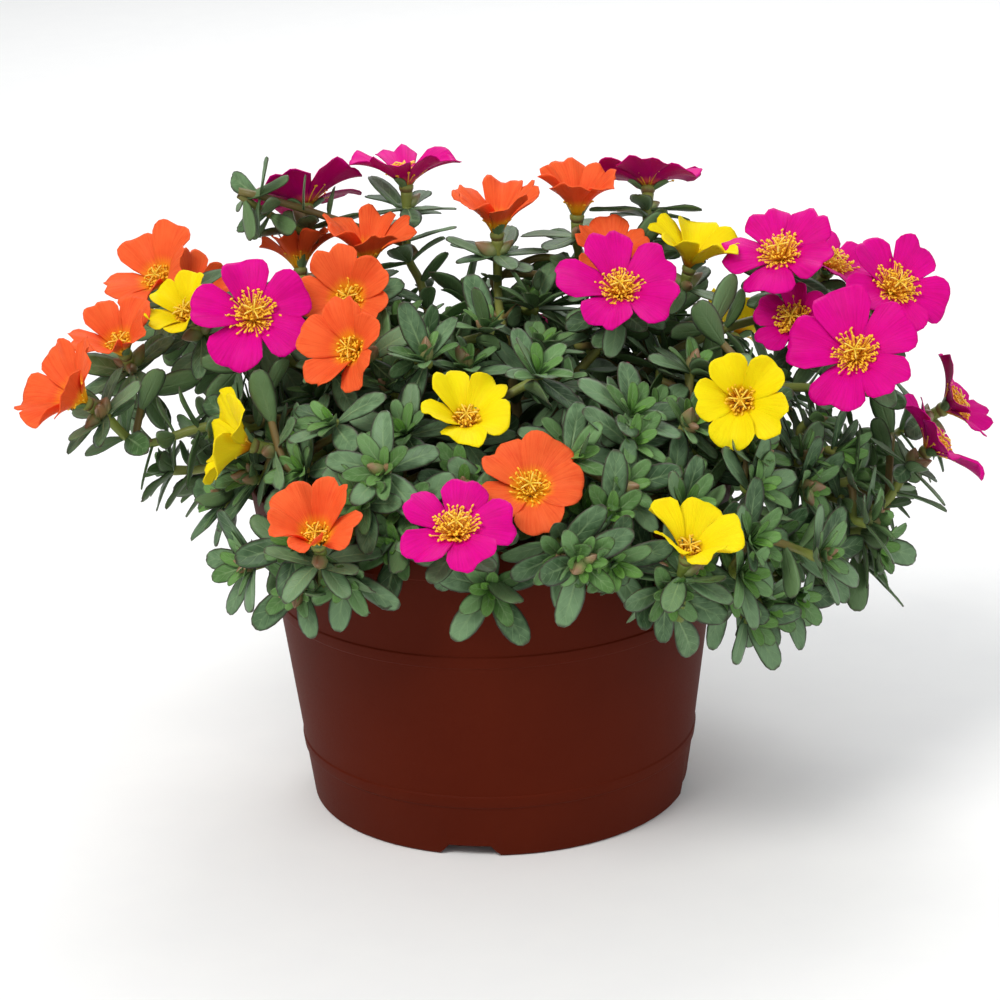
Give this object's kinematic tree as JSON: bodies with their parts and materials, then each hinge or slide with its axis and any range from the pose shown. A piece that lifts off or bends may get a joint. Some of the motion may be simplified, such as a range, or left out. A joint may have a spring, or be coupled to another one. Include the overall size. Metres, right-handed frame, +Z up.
{
  "type": "potted portulaca",
  "caption": "Flowering portulaca with trailing leafy stems and open cup-shaped blooms, growing in soil in a round tapered plastic pot with raised bands, a rim band and foot notches.",
  "frame": {"origin": "middle of the pot's underside, on its centre foot, at the level that the pot stands on", "axes": "+Z up along the pot's axis, -Y towards the front, +X to the right seen from the front"},
  "size_m": [0.3962, 0.3089, 0.2611],
  "materials": {
    "pot": "matte",
    "soil": "matte",
    "leafy_stem": "satin",
    "petal_magenta": "satin",
    "petal_orange": "satin",
    "petal_yellow": "satin"
  },
  "bodies": {
    "root": {"bloom_back_left_coral": "petal_orange", "bloom_centre_pink": "petal_magenta", "bloom_edge_back_pink": "petal_magenta", "bloom_edge_left_coral": "petal_orange", "bloom_edge_right_pink": "petal_magenta", "bloom_fan_coral": "petal_orange", "bloom_far_left_coral": "petal_orange", "bloom_far_right_pink": "petal_magenta", "bloom_front_coral": "petal_orange", "bloom_front_left_coral": "petal_orange", "bloom_front_pink": "petal_magenta", "bloom_front_right_lemon": "petal_yellow", "bloom_hidden_coral": "petal_orange", "bloom_inner_coral": "petal_orange", "bloom_inner_right_pink": "petal_magenta", "bloom_left_lemon": "petal_yellow", "bloom_left_pink": "petal_magenta", "bloom_low_left_lemon": "petal_yellow", "bloom_middle_lemon": "petal_yellow", "bloom_near_coral": "petal_orange", "bloom_near_right_pink": "petal_magenta", "bloom_rear_left_coral": "petal_orange", "bloom_rear_low_pink": "petal_magenta", "bloom_rear_pink": "petal_magenta", "bloom_rear_right_lemon": "petal_yellow", "bloom_right_back_pink": "petal_magenta", "bloom_right_lemon": "petal_yellow", "bloom_right_pink": "petal_magenta", "bloom_side_coral": "petal_orange", "bloom_top_coral": "petal_orange", "bloom_top_left_pink": "petal_magenta", "bloom_top_lemon": "petal_yellow", "bloom_top_pink": "petal_magenta", "bloom_top_right_coral": "petal_orange", "bloom_top_right_pink": "petal_magenta", "bloom_upper_coral": "petal_orange", "pot": "pot", "soil": "soil", "stem_centre_pink": "leafy_stem", "stem_edge_left": "leafy_stem", "stem_edge_right": "leafy_stem", "stem_front_coral": "leafy_stem", "stem_front_left": "leafy_stem", "stem_front_pink": "leafy_stem", "stem_front_right": "leafy_stem", "stem_left_back": "leafy_stem", "stem_left_lemon": "leafy_stem", "stem_left_pink": "leafy_stem", "stem_middle_lemon": "leafy_stem", "stem_near_coral": "leafy_stem", "stem_near_right": "leafy_stem", "stem_rear": "leafy_stem", "stem_rear_left": "leafy_stem", "stem_rear_right": "leafy_stem", "stem_right_lemon": "leafy_stem", "stem_right_pink": "leafy_stem", "stem_top_coral": "leafy_stem", "stem_top_pink": "leafy_stem", "stem_trailing": "leafy_stem", "stem_upper_coral": "leafy_stem"}
  },
  "joints": []
}
